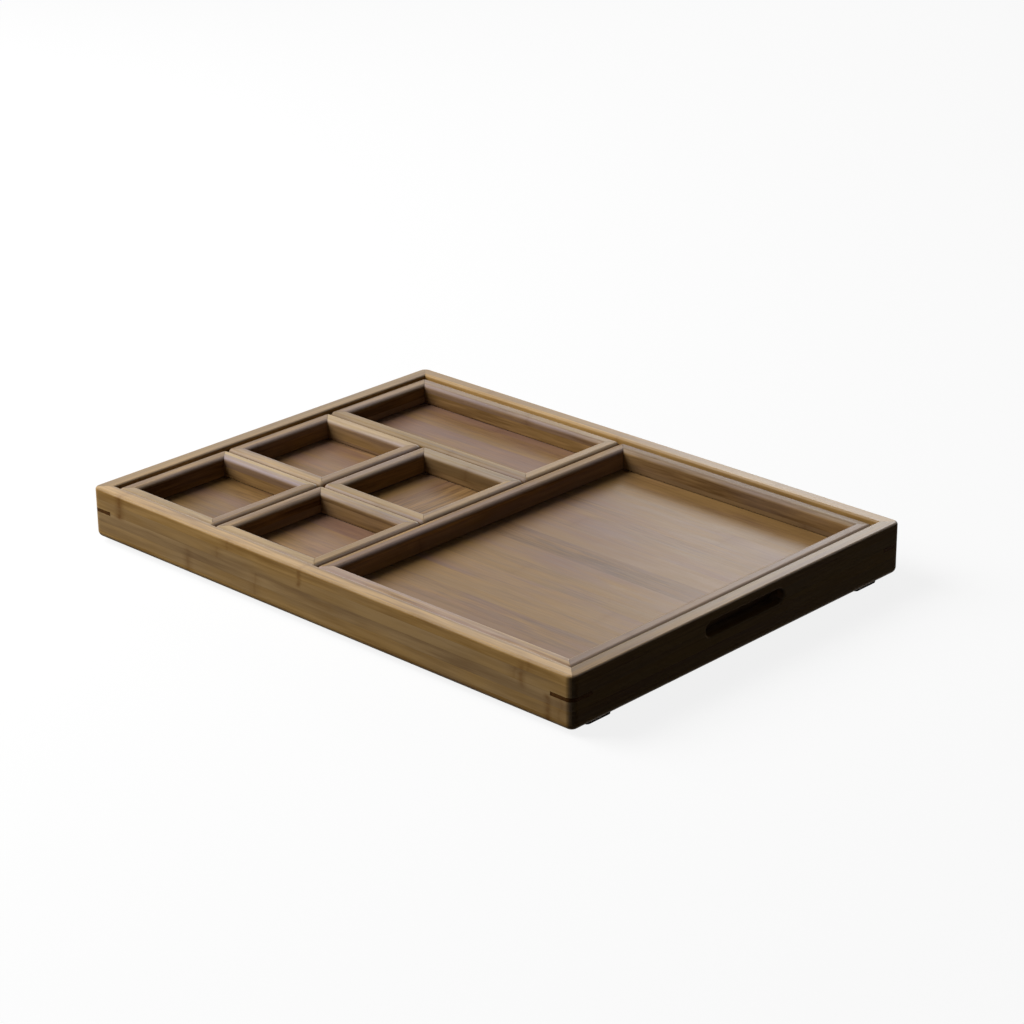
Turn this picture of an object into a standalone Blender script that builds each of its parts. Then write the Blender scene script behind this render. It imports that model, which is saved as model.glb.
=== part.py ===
"""Bamboo tea tray: a mitred outer tray with slips across its corners, and six loose inner trays.

Lengths are in metres and +Z is up. The long side runs along X. The origin is on the surface that
the tray stands on, at the middle of its footprint.
"""

import math

import bmesh
import bpy
from mathutils import Matrix, Vector

# Clearances
SEAT_GAP = 0.0003
OVERRUN = 0.004

# Outer tray
TRAY_LENGTH = 0.395
TRAY_WIDTH = 0.285
BOARD_HEIGHT = 0.0325
BOARD_THICKNESS = 0.010
BOARD_RIM_RADIUS = 0.0015
BOARD_FOOT_RADIUS = 0.003
BOARD_CORNER_RADIUS = 0.003
BASE_THICKNESS = 0.005
BASE_LIFT = 0.0065
BASE_GROOVE_DEPTH = 0.005
BASE_CORNER_RADIUS = 0.001

# Slips of dark bamboo, one across each mitred corner in a kerf
SLIP_LEG = 0.016
SLIP_THICKNESS = 0.0018
SLIP_LIFT = 0.0176

# Handle slot in each end board
SLOT_LENGTH = 0.068
SLOT_HEIGHT = 0.0095
SLOT_LIFT = 0.017
SLOT_EDGE_RADIUS = 0.0012

# Rubber pads under the end boards
FOOT_LENGTH = 0.020
FOOT_WIDTH = 0.008
FOOT_HEIGHT = 0.0022
FOOT_INSET = 0.026
FOOT_EDGE_RADIUS = 0.0006

# Inner trays
SMALL_TRAY_LENGTH = 0.0874
SMALL_TRAY_ROWS = 3
RIM_DROP = 0.0012
TRAY_GAP = 0.0006
LEFT_GAP = 0.0007
RIGHT_GAP = 0.0008
FRONT_GAP = 0.0003
BACK_GAP = 0.0013
RAIL_THICKNESS = 0.010
RAIL_TOP_RADIUS = 0.0032
RAIL_FOOT_EASING = 0.0006
RAIL_CORNER_RADIUS = 0.002
MITRE_GAP = 0.0003
FLOOR_THICKNESS = 0.004
FLOOR_LIFT = 0.0023
FLOOR_GROOVE_DEPTH = 0.004
FLOOR_CORNER_RADIUS = 0.0008

# Steps in a quarter round
BOARD_RIM_STEPS = 3
BOARD_FOOT_STEPS = 4
BOARD_CORNER_STEPS = 4
SLOT_END_STEPS = 6
SLOT_EDGE_STEPS = 1
RAIL_TOP_STEPS = 6
RAIL_CORNER_STEPS = 3
FOOT_END_STEPS = 5
FOOT_EDGE_STEPS = 2
FLOOR_CORNER_STEPS = 2

# Heights that follow
BOARD_BOTTOM = FOOT_HEIGHT + SEAT_GAP
RIM_TOP = BOARD_BOTTOM + BOARD_HEIGHT
SLIP_BOTTOM = BOARD_BOTTOM + SLIP_LIFT
BASE_BOTTOM = BOARD_BOTTOM + BASE_LIFT
BASE_TOP = BASE_BOTTOM + BASE_THICKNESS
TRAY_BOTTOM = BASE_TOP + SEAT_GAP
RAIL_HEIGHT = RIM_TOP - RIM_DROP - TRAY_BOTTOM

# Plan sizes that follow
INSIDE_LENGTH = TRAY_LENGTH - 2 * BOARD_THICKNESS
INSIDE_WIDTH = TRAY_WIDTH - 2 * BOARD_THICKNESS
TRAY_ROOM = INSIDE_WIDTH - FRONT_GAP - BACK_GAP
SMALL_TRAY_WIDTH = (TRAY_ROOM + TRAY_GAP) / SMALL_TRAY_ROWS - TRAY_GAP
COLUMN_PITCH = SMALL_TRAY_LENGTH + TRAY_GAP
ROW_PITCH = SMALL_TRAY_WIDTH + TRAY_GAP

# Colours
DARK_BAMBOO = (0.205, 0.125, 0.052)
SLIP_BAMBOO = (0.075, 0.032, 0.014)
RAIL_BAMBOO = (0.34, 0.235, 0.13)
FLOOR_BAMBOO = (0.26, 0.175, 0.105)
FOOT_RUBBER = (0.045, 0.034, 0.026)


def clear_scene():
    """Remove every object, so that the script can run again in an open file."""
    for item in list(bpy.data.objects):
        bpy.data.objects.remove(item, do_unlink=True)


def make_collection(name):
    """Return a new collection linked to the scene."""
    group = bpy.data.collections.new(name)
    bpy.context.scene.collection.children.link(group)
    return group


def make_material(name, colour, roughness):
    """Return a Principled material of one colour."""
    material = bpy.data.materials.new(name)
    material.use_nodes = True
    shader = material.node_tree.nodes["Principled BSDF"]
    shader.inputs["Base Color"].default_value = (*colour, 1.0)
    shader.inputs["Roughness"].default_value = roughness
    shader.inputs["Metallic"].default_value = 0.0
    return material


def add_block(bm, low, high):
    """Add a box between two corners to a bmesh."""
    low = Vector(low)
    high = Vector(high)
    place = Matrix.Translation((low + high) / 2) @ Matrix.Diagonal((*(high - low), 1.0))
    bmesh.ops.create_cube(bm, size=1.0, matrix=place)


def finish_mesh(bm, name):
    """Turn a bmesh into a mesh with its faces pointing out."""
    bmesh.ops.recalc_face_normals(bm, faces=bm.faces)
    mesh = bpy.data.meshes.new(name)
    bm.to_mesh(mesh)
    bm.free()
    return mesh


def add_object(name, mesh, group, material, place=(0.0, 0.0, 0.0)):
    """Add a piece to the tray's collection."""
    item = bpy.data.objects.new(name, mesh)
    item.location = place
    mesh.materials.clear()
    mesh.materials.append(material)
    group.objects.link(item)
    return item


def add_cutter(name, mesh, group):
    """Add a cutter, which shows as a wire and isn't a piece."""
    cutter = bpy.data.objects.new(name, mesh)
    cutter.display_type = "WIRE"
    cutter.hide_render = True
    group.objects.link(cutter)
    return cutter


def cut(item, cutter):
    """Cut one object by another with an exact Boolean."""
    step = item.modifiers.new(cutter.name, "BOOLEAN")
    step.operation = "DIFFERENCE"
    step.solver = "EXACT"
    step.object = cutter


def bake(item):
    """Replace an object's modifiers by their result."""
    bpy.context.view_layer.update()
    evaluated = item.evaluated_get(bpy.context.evaluated_depsgraph_get())
    mesh = bpy.data.meshes.new_from_object(evaluated)
    item.modifiers.clear()
    item.data = mesh
    return mesh


def near(value, target):
    """Say whether two lengths are the same to a tenth of a seat gap."""
    return abs(value - target) < SEAT_GAP / 10


def edge_on(edge, axis, target):
    """Say whether both ends of an edge have one coordinate."""
    return all(near(vert.co[axis], target) for vert in edge.verts)


def round_edges(bm, edges, radius, steps):
    """Round a list of edges of a bmesh."""
    bmesh.ops.bevel(
        bm, geom=edges, offset=radius, offset_type="OFFSET", segments=steps, profile=0.5,
        affect="EDGES", clamp_overlap=False,
    )


def slice_and_cap(bm, point, normal):
    """Cut away what lies beyond a plane and close the cut."""
    geometry = bm.verts[:] + bm.edges[:] + bm.faces[:]
    bmesh.ops.bisect_plane(bm, geom=geometry, plane_co=point, plane_no=normal, clear_outer=True)
    open_edges = [edge for edge in bm.edges if edge.is_boundary]
    bmesh.ops.holes_fill(bm, edges=open_edges, sides=0)


def outline_mesh(name, points, half_depth):
    """Fill a closed outline in its own XY plane and extrude it both ways along Z."""
    curve = bpy.data.curves.new(name, "CURVE")
    curve.dimensions = "2D"
    curve.fill_mode = "BOTH"
    curve.extrude = half_depth
    spline = curve.splines.new("POLY")
    spline.points.add(len(points) - 1)
    for point, (across, up) in zip(spline.points, points):
        point.co = (across, up, 0.0, 1.0)
    spline.use_cyclic_u = True
    drawn = bpy.data.objects.new(name, curve)
    bpy.context.scene.collection.objects.link(drawn)
    bpy.context.view_layer.update()
    evaluated = drawn.evaluated_get(bpy.context.evaluated_depsgraph_get())
    mesh = bpy.data.meshes.new_from_object(evaluated)
    bpy.data.objects.remove(drawn, do_unlink=True)
    bm = bmesh.new()
    bm.from_mesh(mesh)
    bmesh.ops.remove_doubles(bm, verts=bm.verts, dist=SEAT_GAP / 100)
    bmesh.ops.recalc_face_normals(bm, faces=bm.faces)
    bm.to_mesh(mesh)
    bm.free()
    return mesh


def arc(centre, radius, start, end, steps):
    """Return the points of an arc between two angles in degrees."""
    points = []
    for step in range(steps + 1):
        angle = math.radians(start + (end - start) * step / steps)
        points.append((centre[0] + radius * math.cos(angle), centre[1] + radius * math.sin(angle)))
    return points


def is_corner(edge):
    """Say whether two faces meet along an edge at more than 30 degrees."""
    return len(edge.link_faces) == 2 and edge.calc_face_angle() > math.radians(30.0)


def mitred_mesh(name, section, length, corner_radius, corner_steps):
    """Return a mitred length of a section, along X, with its outer face on the XZ plane.

    The outer face looks along -Y and has the full length. Its upright ends are rounded.
    """
    half = length / 2
    mesh = outline_mesh(name, section, half + OVERRUN)
    mesh.transform(Matrix(((0, 0, 1, 0), (1, 0, 0, 0), (0, 1, 0, 0), (0, 0, 0, 1))))
    bm = bmesh.new()
    bm.from_mesh(mesh)
    mitre_start = half - MITRE_GAP / math.sqrt(2)
    for side in (-1, 1):
        slice_and_cap(bm, (side * mitre_start, 0.0, 0.0), (side, 1.0, 0.0))
        for step in range(1, corner_steps + 1):
            angle = math.radians(45.0) * step / corner_steps
            outward = Vector((side * math.sin(angle), -math.cos(angle), 0.0))
            centre = Vector((side * (half - corner_radius), corner_radius, 0.0))
            slice_and_cap(bm, centre + outward * corner_radius, outward)
    bmesh.ops.recalc_face_normals(bm, faces=bm.faces)
    bm.to_mesh(mesh)
    bm.free()
    return mesh


def board_section():
    """Return the outline of a board: outer face at 0, inner face with the base panel's groove beyond it."""
    foot = BOARD_FOOT_RADIUS
    rim = BOARD_RIM_RADIUS
    groove_low = BASE_LIFT - SEAT_GAP
    groove_high = BASE_LIFT + BASE_THICKNESS + SEAT_GAP
    groove_in = BOARD_THICKNESS - BASE_GROOVE_DEPTH
    points = arc((foot, foot), foot, 180.0, 270.0, BOARD_FOOT_STEPS)
    points += arc((BOARD_THICKNESS - rim, rim), rim, 270.0, 360.0, BOARD_RIM_STEPS)
    points += [(BOARD_THICKNESS, groove_low), (groove_in, groove_low)]
    points += [(groove_in, groove_high), (BOARD_THICKNESS, groove_high)]
    points += arc((BOARD_THICKNESS - rim, BOARD_HEIGHT - rim), rim, 0.0, 90.0, BOARD_RIM_STEPS)
    points += arc((rim, BOARD_HEIGHT - rim), rim, 90.0, 180.0, BOARD_RIM_STEPS)
    return points


def board_mesh(name, length):
    """Return a mitred board along X whose outer face looks along -Y."""
    return mitred_mesh(name, board_section(), length, BOARD_CORNER_RADIUS, BOARD_CORNER_STEPS)


def slot_outline():
    """Return the handle slot's outline, a bar with round ends about its own middle."""
    radius = SLOT_HEIGHT / 2
    reach = SLOT_LENGTH / 2 - radius
    right = arc((reach, 0.0), radius, -90.0, 90.0, SLOT_END_STEPS)
    left = arc((-reach, 0.0), radius, 90.0, 270.0, SLOT_END_STEPS)
    return right + left


def slotted_board(name, length, group, cutters, material):
    """Return an end board, still along X, with its handle slot cut and the slot's edges eased."""
    thickness = BOARD_THICKNESS
    item = add_object(name, board_mesh(name, length), group, material)
    slot = outline_mesh("slot_cutter", slot_outline(), thickness / 2 + OVERRUN)
    slot_z = SLOT_LIFT + SLOT_HEIGHT / 2
    slot.transform(Matrix.Translation((0.0, thickness / 2, slot_z)) @ Matrix.Rotation(math.pi / 2, 4, "X"))
    cutter = add_cutter(name + "_slot_cutter", slot, cutters)
    cut(item, cutter)
    mesh = bake(item)
    bm = bmesh.new()
    bm.from_mesh(mesh)
    rim = []
    for edge in bm.edges:
        flat = edge_on(edge, 1, 0.0) or edge_on(edge, 1, thickness)
        inside = all(near_slot(vert.co, slot_z) for vert in edge.verts)
        if flat and inside and is_corner(edge):
            rim.append(edge)
    round_edges(bm, rim, SLOT_EDGE_RADIUS, SLOT_EDGE_STEPS)
    bm.to_mesh(mesh)
    bm.free()
    return item


def near_slot(point, slot_z):
    """Say whether a point of an end board lies on the slot's wall."""
    radius = SLOT_HEIGHT / 2
    reach = SLOT_LENGTH / 2 - radius
    beyond = max(abs(point.x) - reach, 0.0)
    return near(math.hypot(beyond, point.z - slot_z), radius)


def place_board(item, turn, distance):
    """Turn a board about Z by quarter turns, with its outer face a distance from the middle."""
    item.matrix_world = (
        Matrix.Rotation(turn * math.pi / 2, 4, "Z") @ Matrix.Translation((0.0, -distance, BOARD_BOTTOM))
    )


def make_kerf_cutter(group):
    """Add the cutter of the kerfs that hold the slips, one across each corner at 45 degrees."""
    depth = SLIP_LEG / math.sqrt(2)
    reach = depth + OVERRUN
    height = SLIP_THICKNESS + 2 * SEAT_GAP
    bm = bmesh.new()
    for side_x in (-1, 1):
        for side_y in (-1, 1):
            outward = Vector((side_x, side_y, 0.0)).normalized()
            corner = Vector((side_x * TRAY_LENGTH / 2, side_y * TRAY_WIDTH / 2, 0.0))
            middle = corner + outward * (reach / 2 - depth)
            middle.z = SLIP_BOTTOM + SLIP_THICKNESS / 2
            turn = Matrix.Rotation(math.atan2(side_y, side_x), 4, "Z")
            size = Matrix.Diagonal((reach, 2 * reach, height, 1.0))
            bmesh.ops.create_cube(bm, size=1.0, matrix=Matrix.Translation(middle) @ turn @ size)
    return add_cutter("kerf_cutter", finish_mesh(bm, "kerf_cutter"), group)


def slip_mesh():
    """Return one slip, a three-cornered slice whose rounded right angle is the tray's +X +Y corner."""
    leg = SLIP_LEG - SEAT_GAP * math.sqrt(2)
    radius = BOARD_CORNER_RADIUS
    outline = [(-leg, 0.0)]
    outline += arc((-radius, -radius), radius, 90.0, 0.0, 2 * BOARD_CORNER_STEPS)
    outline += [(0.0, -leg)]
    mesh = outline_mesh("slip", outline, SLIP_THICKNESS / 2)
    mesh.transform(Matrix.Translation((0.0, 0.0, SLIP_THICKNESS / 2)))
    return mesh


def make_slips(group):
    """Model the four slips in their kerfs."""
    bamboo = make_material("slip_bamboo", SLIP_BAMBOO, 0.5)
    places = (("back_right", 0, 1, 1), ("back_left", 1, -1, 1), ("front_left", 2, -1, -1), ("front_right", 3, 1, -1))
    for side, turn, side_x, side_y in places:
        name = "corner_slip_%s" % side
        mesh = slip_mesh()
        mesh.transform(Matrix.Rotation(turn * math.pi / 2, 4, "Z"))
        place = (side_x * TRAY_LENGTH / 2, side_y * TRAY_WIDTH / 2, SLIP_BOTTOM)
        add_object(name, mesh, group, bamboo, place)


def make_outer_tray(group, cutters):
    """Model the four boards, their slips, the base panel and the feet."""
    bamboo = make_material("board_bamboo", DARK_BAMBOO, 0.45)
    kerfs = make_kerf_cutter(cutters)
    for name, turn in (("front_board", 0), ("back_board", 2)):
        item = add_object(name, board_mesh(name, TRAY_LENGTH), group, bamboo)
        place_board(item, turn, TRAY_WIDTH / 2)
        cut(item, kerfs)
    for name, turn in (("right_board", 1), ("left_board", 3)):
        item = slotted_board(name, TRAY_WIDTH, group, cutters, bamboo)
        place_board(item, turn, TRAY_LENGTH / 2)
        cut(item, kerfs)
    make_slips(group)
    make_base(group)
    make_feet(group)


def panel_mesh(name, length, width, thickness, corner_radius, steps):
    """Return a flat panel centred on Z, lying on the XY plane, with round corners in plan."""
    half_x = length / 2
    half_y = width / 2
    bm = bmesh.new()
    add_block(bm, (-half_x, -half_y, 0.0), (half_x, half_y, thickness))
    upright = [edge for edge in bm.edges if not near(edge.verts[0].co.z, edge.verts[1].co.z)]
    round_edges(bm, upright, corner_radius, steps)
    return finish_mesh(bm, name)


def make_base(group):
    """Model the base panel, whose edges stand in the boards' grooves."""
    bamboo = make_material("base_bamboo", FLOOR_BAMBOO, 0.5)
    tongue = 2 * (BASE_GROOVE_DEPTH - SEAT_GAP)
    mesh = panel_mesh(
        "base_panel", INSIDE_LENGTH + tongue, INSIDE_WIDTH + tongue, BASE_THICKNESS,
        BASE_CORNER_RADIUS, FLOOR_CORNER_STEPS,
    )
    add_object("base_panel", mesh, group, bamboo, (0.0, 0.0, BASE_BOTTOM))


def foot_mesh():
    """Return one pad along Y with round ends and a soft lower edge, standing on the XY plane."""
    radius = FOOT_WIDTH / 2
    reach = FOOT_LENGTH / 2 - radius
    outline = arc((0.0, reach), radius, 0.0, 180.0, 2 * FOOT_END_STEPS)
    outline += arc((0.0, -reach), radius, 180.0, 360.0, 2 * FOOT_END_STEPS)
    mesh = outline_mesh("foot", outline, FOOT_HEIGHT / 2)
    mesh.transform(Matrix.Translation((0.0, 0.0, FOOT_HEIGHT / 2)))
    bm = bmesh.new()
    bm.from_mesh(mesh)
    lower = [edge for edge in bm.edges if edge_on(edge, 2, 0.0) and is_corner(edge)]
    round_edges(bm, lower, FOOT_EDGE_RADIUS, FOOT_EDGE_STEPS)
    bm.to_mesh(mesh)
    bm.free()
    return mesh


def make_feet(group):
    """Model the four pads, which lie along the end boards' undersides near the corners."""
    rubber = make_material("foot_rubber", FOOT_RUBBER, 0.7)
    reach_x = (TRAY_LENGTH - BOARD_THICKNESS) / 2
    reach_y = TRAY_WIDTH / 2 - FOOT_INSET
    mesh = foot_mesh()
    for front, side_y in (("front", -1), ("back", 1)):
        for left, side_x in (("left", -1), ("right", 1)):
            place = (side_x * reach_x, side_y * reach_y, 0.0)
            add_object("foot_%s_%s" % (front, left), mesh, group, rubber, place)


def rail_section():
    """Return the outline of an inner tray's rail: outer face at 0, inner face and groove beyond it."""
    groove_low = FLOOR_LIFT - SEAT_GAP
    groove_high = FLOOR_LIFT + FLOOR_THICKNESS + SEAT_GAP
    groove_in = RAIL_THICKNESS - FLOOR_GROOVE_DEPTH
    shoulder = RAIL_HEIGHT - RAIL_TOP_RADIUS
    points = [(RAIL_FOOT_EASING, 0.0), (RAIL_THICKNESS - RAIL_FOOT_EASING, 0.0)]
    points += [(RAIL_THICKNESS, RAIL_FOOT_EASING), (RAIL_THICKNESS, groove_low)]
    points += [(groove_in, groove_low), (groove_in, groove_high), (RAIL_THICKNESS, groove_high)]
    inner = (RAIL_THICKNESS - RAIL_TOP_RADIUS, shoulder)
    outer = (RAIL_TOP_RADIUS, shoulder)
    points += arc(inner, RAIL_TOP_RADIUS, 0.0, 90.0, RAIL_TOP_STEPS)
    points += arc(outer, RAIL_TOP_RADIUS, 90.0, 180.0, RAIL_TOP_STEPS)
    points += [(0.0, RAIL_FOOT_EASING)]
    return points


def rail_mesh(name, length):
    """Return a mitred rail along X, with its outer face on the XZ plane and looking along -Y."""
    return mitred_mesh(name, rail_section(), length, RAIL_CORNER_RADIUS, RAIL_CORNER_STEPS)


def make_inner_tray(name, low, length, width, group, rail_bamboo, floor_bamboo):
    """Model one inner tray, whose footprint starts at a corner: four rails and a floor."""
    hub = bpy.data.objects.new(name, None)
    hub.location = (low[0] + length / 2, low[1] + width / 2, TRAY_BOTTOM)
    group.objects.link(hub)
    sides = (
        ("front_rail", 0, length, width / 2),
        ("right_rail", 1, width, length / 2),
        ("back_rail", 2, length, width / 2),
        ("left_rail", 3, width, length / 2),
    )
    for side, turn, run, distance in sides:
        full_name = "%s_%s" % (name, side)
        item = add_object(full_name, rail_mesh(full_name, run), group, rail_bamboo)
        item.parent = hub
        item.matrix_local = (
            Matrix.Rotation(turn * math.pi / 2, 4, "Z") @ Matrix.Translation((0.0, -distance, 0.0))
        )
    tongue = 2 * (FLOOR_GROOVE_DEPTH - SEAT_GAP - RAIL_THICKNESS)
    full_name = "%s_floor" % name
    mesh = panel_mesh(
        full_name, length + tongue, width + tongue, FLOOR_THICKNESS,
        FLOOR_CORNER_RADIUS, FLOOR_CORNER_STEPS,
    )
    item = add_object(full_name, mesh, group, floor_bamboo)
    item.parent = hub
    item.location = (0.0, 0.0, FLOOR_LIFT)


def make_inner_trays(group):
    """Lay out the six inner trays from the outer tray's front left inside corner."""
    rail_bamboo = make_material("rail_bamboo", RAIL_BAMBOO, 0.4)
    floor_bamboo = make_material("floor_bamboo", FLOOR_BAMBOO, 0.4)
    start_x = LEFT_GAP - INSIDE_LENGTH / 2
    start_y = FRONT_GAP - INSIDE_WIDTH / 2
    number = 1
    for column in range(2):
        for row in range(2):
            low = (start_x + column * COLUMN_PITCH, start_y + row * ROW_PITCH)
            make_inner_tray(
                "small_tray_%d" % number, low, SMALL_TRAY_LENGTH, SMALL_TRAY_WIDTH,
                group, rail_bamboo, floor_bamboo,
            )
            number += 1
    make_inner_tray(
        "medium_tray", (start_x, start_y + 2 * ROW_PITCH), COLUMN_PITCH + SMALL_TRAY_LENGTH,
        SMALL_TRAY_WIDTH, group, rail_bamboo, floor_bamboo,
    )
    large_x = start_x + 2 * COLUMN_PITCH
    large_length = INSIDE_LENGTH / 2 - RIGHT_GAP - large_x
    make_inner_tray(
        "large_tray", (large_x, start_y), large_length, TRAY_ROOM, group, rail_bamboo, floor_bamboo
    )


def shade(group):
    """Shade every piece smooth, with its real edges kept sharp."""
    for item in group.objects:
        if item.type == "MESH":
            item.data.shade_smooth()
            item.data.set_sharp_from_angle(angle=math.radians(35.0))


def main():
    """Build the whole tray."""
    clear_scene()
    tray = make_collection("tea_tray")
    cutters = make_collection("cutters")
    make_outer_tray(tray, cutters)
    make_inner_trays(tray)
    shade(tray)


main()
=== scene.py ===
"""Looks of a bamboo tea tray: a mitred outer tray with slips across its corners, and six loose inner trays.

Lengths are in metres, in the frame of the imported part: +X along the long side, +Y to the back, +Z up.
"""

import logging
import math
from dataclasses import dataclass, field, replace
from enum import Enum
from typing import Callable, Iterator, Optional, Union

import bmesh
import bpy
from mathutils import Matrix, Vector


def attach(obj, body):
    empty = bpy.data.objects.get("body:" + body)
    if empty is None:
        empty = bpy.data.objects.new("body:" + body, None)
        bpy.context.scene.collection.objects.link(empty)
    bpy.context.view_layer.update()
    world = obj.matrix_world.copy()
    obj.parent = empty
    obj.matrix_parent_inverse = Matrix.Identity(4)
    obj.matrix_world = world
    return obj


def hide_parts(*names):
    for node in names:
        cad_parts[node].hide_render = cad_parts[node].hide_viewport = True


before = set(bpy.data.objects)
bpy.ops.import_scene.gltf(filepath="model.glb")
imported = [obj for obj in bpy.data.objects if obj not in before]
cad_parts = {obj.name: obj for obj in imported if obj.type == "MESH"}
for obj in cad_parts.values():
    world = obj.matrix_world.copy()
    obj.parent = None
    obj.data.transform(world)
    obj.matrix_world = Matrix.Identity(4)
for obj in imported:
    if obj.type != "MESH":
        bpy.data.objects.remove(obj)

Item = bpy.types.Object
Edge = bmesh.types.BMEdge
Material = bpy.types.Material
Node = bpy.types.Node
Number = Union[int, float]
Value = Union["Wire", int, float]
Point = tuple[float, float, float]
Colour = tuple[float, float, float]

log = logging.getLogger("tea_tray")
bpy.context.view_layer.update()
# Two places are one where they lie less than HAIR apart. An edge longer than LONG is no rounding's,
# and one whose faces turn by more than SHARP is a corner.
HAIR = 1e-5
LONG = 1e-3
SHARP = math.radians(30.0)
Y_AXIS, Z_AXIS = 1, 2


class Pick(Enum):
    """What edit mode selects."""

    EDGE = "EDGE"
    FACE = "FACE"


class Grain(Enum):
    """The way that a piece's fibres run, as the turn in degrees that brings them onto X."""

    ALONG_X = 0.0
    ALONG_Y = -90.0


class Bench:
    """Modelling steps done as by hand, on what is picked by its place or direction."""

    @staticmethod
    def clear() -> None:
        """Leave edit mode and deselect every object."""
        active = bpy.context.view_layer.objects.active
        if active is not None and active.mode != "OBJECT":
            bpy.ops.object.mode_set(mode="OBJECT")
        bpy.ops.object.select_all(action="DESELECT")

    @staticmethod
    def take(item: Item) -> None:
        """Select one object alone and make it active."""
        Bench.clear()
        item.select_set(True)
        bpy.context.view_layer.objects.active = item

    @staticmethod
    def settle(item: Item) -> None:
        """Move an object's place, turn and size into its mesh."""
        Bench.take(item)
        bpy.ops.object.transform_apply(location=True, rotation=True, scale=True)

    @staticmethod
    def block(name: str, low: Point, high: Point) -> Item:
        """Add a block between two corners.

        Args:
            name: Name of the piece.
            low: Lowest corner.
            high: Highest corner.

        Returns:
            The block, with its place in its mesh.
        """
        Bench.clear()
        bpy.ops.mesh.primitive_cube_add(size=1.0, location=(Vector(low) + Vector(high)) / 2)
        item = bpy.context.active_object
        item.name = name
        item.data.name = name
        item.scale = Vector(high) - Vector(low)
        Bench.settle(item)
        return item

    @staticmethod
    def edit(item: Item) -> None:
        """Open an object in edit mode with nothing selected."""
        Bench.take(item)
        bpy.ops.object.mode_set(mode="EDIT")
        bpy.ops.mesh.select_all(action="DESELECT")

    @staticmethod
    def pick(item: Item, kind: Pick, test: Callable[..., bool]) -> None:
        """Select what passes a test.

        Args:
            item: The object in edit mode.
            kind: Whether edges or faces are picked.
            test: Says whether an element is wanted.
        """
        bpy.ops.mesh.select_mode(type=kind.value)
        bpy.ops.mesh.select_all(action="DESELECT")
        mesh = bmesh.from_edit_mesh(item.data)
        for element in mesh.edges if kind is Pick.EDGE else mesh.faces:
            if test(element):
                element.select_set(True)
        mesh.select_flush_mode()
        bmesh.update_edit_mesh(item.data)

    @staticmethod
    def round_off(item: Item, test: Callable[..., bool], radius: float, steps: int) -> None:
        """Round the edges of an object in edit mode that pass a test, with so many faces across."""
        Bench.pick(item, Pick.EDGE, test)
        bpy.ops.mesh.bevel(
            offset=radius, offset_type="OFFSET", segments=steps, profile=0.5, affect="EDGES",
            clamp_overlap=False,
        )

    @staticmethod
    def saw(point: Vector, outward: Vector) -> None:
        """Saw off what lies beyond a point's plane, whose normal looks to the waste, and close the cut."""
        bpy.ops.mesh.select_all(action="SELECT")
        bpy.ops.mesh.bisect(plane_co=point, plane_no=outward, use_fill=True, clear_outer=True)

    @staticmethod
    def groove(item: Item, low: float, high: float, depth: float) -> None:
        """Plough a groove along the inner face of a length of wood.

        Args:
            item: The length, in edit mode, along X with its inner face looking along +Y.
            low: Height of the groove's lower side.
            high: Height of its upper side.
            depth: Its depth.
        """
        for height in (low, high):
            bpy.ops.mesh.select_all(action="SELECT")
            bpy.ops.mesh.bisect(plane_co=(0.0, 0.0, height), plane_no=(0.0, 0.0, 1.0), use_fill=False)
        middle = (low + high) / 2
        Bench.pick(
            item, Pick.FACE,
            lambda face: face.normal.y > 0.9 and abs(face.calc_center_median().z - middle) < LONG,
        )
        bpy.ops.mesh.extrude_region_move(TRANSFORM_OT_translate={"value": (0.0, -depth, 0.0)})

    @staticmethod
    def mitre(half: float, gap: float) -> None:
        """Saw both ends of the wood in edit mode, along X with its outer face on y = 0, at 45 degrees.

        Args:
            half: Half the length of its outer face.
            gap: How far it stays from its neighbour.
        """
        for side in (-1.0, 1.0):
            start = Vector((side * (half - gap / math.sqrt(2)), 0.0, 0.0))
            Bench.saw(start, Vector((side, 1.0, 0.0)))

    @staticmethod
    def done() -> None:
        """Go back to object mode."""
        bpy.ops.object.mode_set(mode="OBJECT")

    @staticmethod
    def subtract(item: Item, cutter: Item) -> None:
        """Cut one object by another, and throw the cutter away.

        Args:
            item: The piece that is cut.
            cutter: The object whose space is taken out.
        """
        Bench.take(item)
        step = item.modifiers.new("cut", "BOOLEAN")
        step.operation = "DIFFERENCE"
        step.solver = "EXACT"
        step.object = cutter
        bpy.ops.object.modifier_apply(modifier=step.name)
        Bench.discard(cutter)

    @staticmethod
    def discard(item: Item) -> None:
        """Throw an object away."""
        bpy.data.objects.remove(item, do_unlink=True)

    @staticmethod
    def copy(item: Item, name: str, turns: int, move: Point) -> Item:
        """Copy a piece with its own mesh.

        Args:
            item: The piece that is copied.
            name: Name of the copy.
            turns: Number of quarter turns about Z.
            move: How far the turned copy is moved.

        Returns:
            The copy, with its place in its mesh.
        """
        Bench.take(item)
        bpy.ops.object.duplicate(linked=False)
        made = bpy.context.active_object
        made.name = name
        made.data.name = name
        made.rotation_euler = (0.0, 0.0, turns * math.pi / 2)
        made.location = move
        Bench.settle(made)
        return made

    @staticmethod
    def polish(item: Item) -> None:
        """Shade a piece smooth except at its sharp edges, with its flats kept flat.

        Args:
            item: The finished piece.
        """
        Bench.take(item)
        bpy.ops.object.shade_smooth_by_angle(angle=SHARP, keep_sharp_edges=False)
        step = item.modifiers.new("flats", "WEIGHTED_NORMAL")
        step.keep_sharp = True
        step.weight = 80
        bpy.ops.object.modifier_apply(modifier=step.name)


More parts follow.
